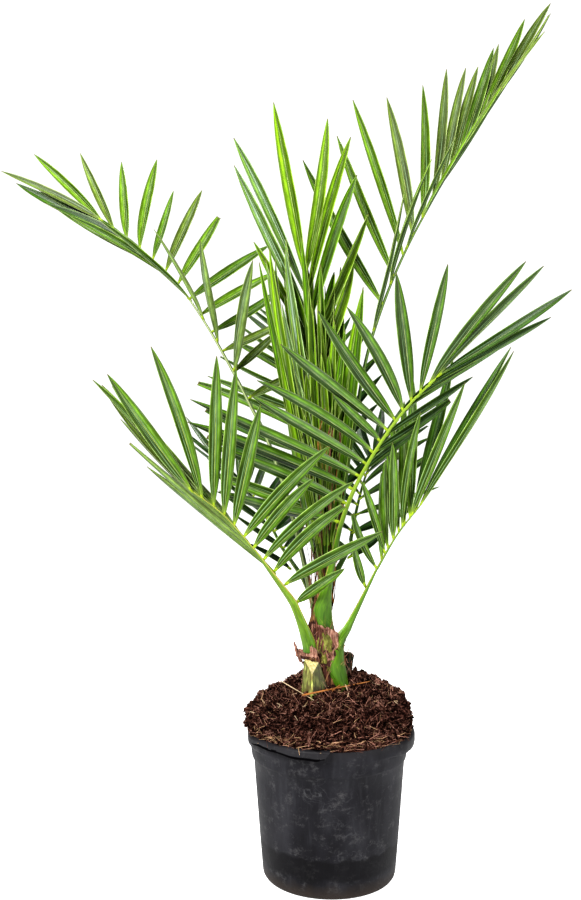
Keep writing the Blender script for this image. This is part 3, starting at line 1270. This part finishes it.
YELLOW_FOOT = (0.28, 0.40, 0.05)
LEAF_FINISHES = {
    "mid": leaf_finish(
        "leaf green", (0.088, 0.182, 0.008), (0.36, 0.48, 0.10), (0.36, 0.46, 0.15), YELLOW_FOOT,
        0.36, 0.12,
    ),
    "fresh": leaf_finish(
        "fresh leaf green", (0.126, 0.245, 0.009), (0.40, 0.54, 0.10), (0.42, 0.53, 0.15),
        YELLOW_FOOT, 0.38, 0.12,
    ),
    "olive": leaf_finish(
        "olive leaf green", (0.128, 0.192, 0.024), (0.38, 0.45, 0.13), (0.40, 0.46, 0.20),
        YELLOW_FOOT, 0.40, 0.12,
    ),
    "deep": leaf_finish(
        "deep leaf green", (0.018, 0.060, 0.003), (0.10, 0.19, 0.03), (0.13, 0.20, 0.06),
        (0.16, 0.26, 0.03), 0.36, 0.16, 0.2,
    ),
    "dusky": leaf_finish(
        "dusky leaf green", (0.042, 0.104, 0.004), (0.18, 0.28, 0.05), (0.20, 0.28, 0.09),
        (0.18, 0.28, 0.04), 0.36, 0.16, 0.35,
    ),
    "glossy": leaf_finish(
        "glossy dark leaf green", (0.066, 0.148, 0.006), (0.36, 0.46, 0.16), (0.32, 0.40, 0.17),
        YELLOW_FOOT, 0.30, 0.25, 0.32,
    ),
    "pale": leaf_finish(
        "pale leaf underside", (0.24, 0.30, 0.115), (0.48, 0.55, 0.28), (0.40, 0.46, 0.25),
        YELLOW_FOOT, 0.5,
    ),
    "grey": leaf_finish(
        "grey-green leaf underside", (0.140, 0.210, 0.045), (0.34, 0.42, 0.16), (0.34, 0.40, 0.18),
        YELLOW_FOOT, 0.48,
    ),
    "lime": leaf_finish(
        "lime young leaf", (0.175, 0.325, 0.008), (0.50, 0.66, 0.18), (0.44, 0.58, 0.14),
        (0.30, 0.48, 0.04), 0.40, 0.10, 0.20,
    ),
    "lime_dark": leaf_finish(
        "shaded young leaf", (0.105, 0.235, 0.005), (0.30, 0.46, 0.08), (0.28, 0.42, 0.07),
        (0.25, 0.42, 0.04), 0.40, 0.10, 0.20,
    ),
    "lime_pale": leaf_finish(
        "waxy young leaf", (0.150, 0.270, 0.040), (0.66, 0.80, 0.56), (0.50, 0.64, 0.34),
        (0.34, 0.50, 0.08), 0.42, 0.16, 0.65,
    ),
}

bpy.ops.mesh.primitive_grid_add(
    x_subdivisions=len(BLADE_COLUMNS) - 1, y_subdivisions=BLADE_STEPS, size=2
)
flat_blade = bpy.context.object
flat_blade.name = flat_blade.data.name = "flat blade"
flat_blade.data.uv_layers[0].name = "UVMap"
FLAT_POINTS = []
for point in flat_blade.data.vertices:
    column = round((point.co.x + 1) / 2 * (len(BLADE_COLUMNS) - 1))
    FLAT_POINTS.append((BLADE_COLUMNS[column], (point.co.y + 1) / 2))
for corner, spot in zip(flat_blade.data.loops, flat_blade.data.uv_layers[0].data):
    across, along = FLAT_POINTS[corner.vertex_index]
    spot.uv = (0.5 + 0.49 * across, 0.01 + 0.98 * along)
bake_map = flat_blade.data.uv_layers.new(name="OFBake")
for here, there in zip(flat_blade.data.uv_layers["UVMap"].data, bake_map.data):
    there.uv = here.uv


def lay_blade(foot, tip, upper, half, fold, roll, twist, bow, sway, cut=1.0):
    """A copy of the flat blade, laid from foot to tip with its upper face turned to upper. Its
    outline ends early where it is cut."""
    made = flat_blade.copy()
    made.data = flat_blade.data.copy()
    bpy.context.scene.collection.objects.link(made)
    reach = tip - foot
    length = reach.length
    way = reach / length
    upper = (upper - way * upper.dot(way)).normalized()
    wide = way.cross(upper)
    for point, (across, along) in zip(made.data.vertices, FLAT_POINTS):
        turn = roll + twist * along
        here_wide = wide * math.cos(turn) + upper * math.sin(turn)
        here_upper = upper * math.cos(turn) - wide * math.sin(turn)
        here_fold = fold * (1.35 - 0.6 * along)
        here_half = half * blade_width(along * cut)
        hump = 4 * along * (1 - along)
        centre = foot + way * length * along
        centre += upper * bow * length * hump + wide * sway * length * hump
        lie = abs(across) ** 1.25
        point.co = (
            centre
            + here_wide * across * here_half * math.cos(here_fold)
            + here_upper * lie * here_half * math.sin(here_fold)
        )
    return made


# For each row: the finishes dealt to the blades' upper faces, the finish of their under faces,
# the half width, the fold in degrees, and last, where the finishes aren't dealt at random,
# which of them each blade has from the foot to the tip.
ROW_LOOKS = {
    ("upper_left", "front"): (("mid", "olive", "dusky"), "grey", 0.0070, 30),
    ("upper_left", "back"): (("mid", "olive", "fresh"), "mid", 0.0070, 28),
    ("upper_right", "front"): (("mid", "fresh", "olive"), "mid", 0.0070, 32),
    ("upper_right", "back"): (("fresh", "mid", "olive"), "grey", 0.0070, 30),
    ("lower_left", "front"): (("mid", "fresh", "mid"), "mid", 0.0078, 28),
    ("lower_left", "back"): (("fresh", "mid", "olive"), "grey", 0.0072, 30),
    ("lower_right", "front"): (
        ("pale", "grey", "mid", "glossy"), "mid", 0.0066, 32, (0, 0, 1, 3, 2, 3, 2)
    ),
    ("lower_right", "back"): (("mid", "dusky", "mid"), "mid", 0.0068, 30),
    ("front_right", "front"): (
        ("mid", "fresh", "olive", "glossy"), "glossy", 0.0074, 30,
        (3, 3, 3, 3, 3, 3, 3, 0, 2, 0, 0, 1, 0, 3),
    ),
    ("front_right", "back"): (("dusky", "glossy", "deep"), "dusky", 0.0072, 34),
    ("back_high", "front"): (("deep", "dusky", "mid"), "dusky", 0.0070, 28),
    ("back_high", "back"): (("deep", "dusky", "deep"), "dusky", 0.0066, 28),
    ("back_low", "front"): (("deep", "dusky", "deep"), "deep", 0.0068, 28),
    ("back_low", "back"): (("deep", "dusky", "deep"), "deep", 0.0068, 28),
    ("back_left", "front"): (("deep", "dusky", "deep"), "deep", 0.0066, 28),
    ("back_left", "back"): (("deep", "dusky", "deep"), "deep", 0.0066, 28),
    ("spear", "front"): (
        ("lime", "lime_dark", "lime_pale"), "lime_pale", 0.0084, 40, (1, 1, 0, 1, 1, 0, 2, 2, 0)
    ),
    ("spear", "back"): (
        ("lime", "lime_dark", "lime_pale"), "lime", 0.0086, 38, (1, 1, 0, 1, 0, 0, 1, 0, 0)
    ),
}
deal = random.Random(9)
for name, side in ROW_LOOKS:
    uppers, under, half, fold, *dealt = ROW_LOOKS[name, side]
    finishes = [LEAF_FINISHES[finish] for finish in (*uppers, under)]
    behind = name.startswith("back")
    blades = []
    for number, (foot, tip, upper, _) in enumerate(leaflets_of(FRONDS[name], side)):
        length = (tip - foot).length
        stray = (tip - foot).cross(upper).normalized()
        tip = tip + stray * length * deal.gauss(0, 0.035 if behind else 0.014)
        tip = foot + (tip - foot) * deal.uniform(0.93 if behind else 0.97, 1.0)
        look = {
            "half": half * deal.uniform(0.88, 1.1) * min(1.08, 0.72 + 2.4 * length),
            "fold": math.radians(fold * deal.uniform(0.75, 1.3)),
            "roll": math.radians(deal.gauss(0, 9)),
            "twist": math.radians(deal.gauss(0, 15)),
            "bow": deal.uniform(-0.035, 0.018),
            "sway": deal.gauss(0, 0.016),
        }
        if deal.random() < BLUNT_SHARE and name != "spear":
            look["cut"] = deal.uniform(0.86, 0.93)
        start = foot + (tip - foot).normalized() * LEAFLET_GAP
        blade = lay_blade(start, tip, upper, **look)
        dress(blade, finishes, dealt[0][number] if dealt else deal.randrange(len(uppers)))
        blades.append(blade)
    leaf_row = join_pieces(f"{name}_{side}_leaflets", blades)
    thicken(leaf_row, LEAFLET_THICKNESS, -1.0, len(uppers))
    slot = "young_leaf" if name == "spear" else "leaflets"
    finish_piece(leaf_row, slot, f"{name}_blade_{side}")


# ---------------------------------------------------------------- unopened spears
# In the middle the youngest leaves still hold together: their blades, folded hard along the
# midline, stand side by side in a pleated lime-green column with brown threads between them.

SPEAR_FOOT, SPEAR_RISE = 0.245, 0.445
YOUNG_BLADES = 58
YOUNG_THICKNESS = 0.0005
SPEAR_THREADS = 210
spear_rib = Rib(FRONDS["spear"])
fold_chance = random.Random(23)
COLUMN_FINISHES = [
    LEAF_FINISHES[finish] for finish in ("lime", "lime_dark", "lime_pale", "dusky", "lime")
]
blades = []
for i in range(YOUNG_BLADES):
    # Two in three stand at the front of the bundle, with their open side forward, and its top
    # comes apart: the outer ones lean out and the inner ones stand higher.
    forward = i % 3 > 0
    foot = spear_rib.at(fold_chance.uniform(0.20, 0.56))
    side_reach = fold_chance.uniform(-0.028, 0.040)
    deep_reach = fold_chance.uniform(*((-0.024, -0.008) if forward else (0.0, 0.022)))
    height = fold_chance.uniform(0.545, 0.735) - 0.9 * max(0, side_reach - 0.012)
    lean = 1 + 1.1 * ease(height, 0.60, 0.72)
    foot = foot + Vector((side_reach * 0.25, deep_reach * 0.5, 0))
    top = spear_rib.at(min(1, (height - SPEAR_FOOT) / SPEAR_RISE))
    tip = Vector((top.x + side_reach * lean, top.y + deep_reach, height))
    outwards = Vector((side_reach, deep_reach, 0)).normalized()
    look = {
        "half": fold_chance.uniform(0.0062, 0.0104),
        "fold": math.radians(fold_chance.uniform(24, 52)),
        "roll": math.radians(fold_chance.gauss(0, 30)),
        "twist": math.radians(fold_chance.gauss(0, 14)),
        "bow": fold_chance.uniform(-0.020, 0.012),
        "sway": fold_chance.gauss(0, 0.010),
    }
    facing = Vector((0.3 * fold_chance.gauss(0, 1), -1, 0)) if forward else -outwards
    blade = lay_blade(foot, tip, facing, **look)
    # The bundle is waxy and pale at its left, and deep green where it lies in its own shade.
    slots = (0, 2, 2, 1, 0) if side_reach < -0.008 else (0, 0, 1, 0, 0, 1)
    dress(blade, COLUMN_FINISHES, fold_chance.choice(slots if forward else (1, 1, 0)))
    blades.append(blade)
column = join_pieces("spear_column", blades)
thicken(column, YOUNG_THICKNESS, -1.0, len(COLUMN_FINISHES) - 1)
finish_piece(column, "young_leaf")

placings = []
for i in range(SPEAR_THREADS):
    share = fold_chance.uniform(0.08, 0.62)
    centre = spear_rib.at(share)
    out = around(fold_chance.uniform(-math.pi, math.pi))
    place = centre + out * fold_chance.uniform(0.005, 0.010 + 0.024 * ease(share, 0.1, 0.5))
    way = Vector((fold_chance.gauss(0, 0.10), fold_chance.gauss(0, 0.10), 1)).normalized()
    length = fold_chance.uniform(0.02, 0.075)
    thick = fold_chance.uniform(0.0003, 0.0012)
    strip = thread(fold_chance, place, way, thick, length)
    placings.append((*strip, fold_chance.randrange(4)))
ORANGE_STRIP = plain_finish("orange-brown fibre strip", (0.36, 0.16, 0.045), 0.6)
threads = strew(
    "spear_threads", thread_shapes, placings, [BROWN_FIBRE, SHEATH_STRAND, ORANGE_STRIP, DARK_FIBRE]
)
finish_piece(threads, "sheath_fibre")
bpy.data.objects.remove(flat_blade)


# ---------------------------------------------------------------- size
bpy.context.view_layer.update()
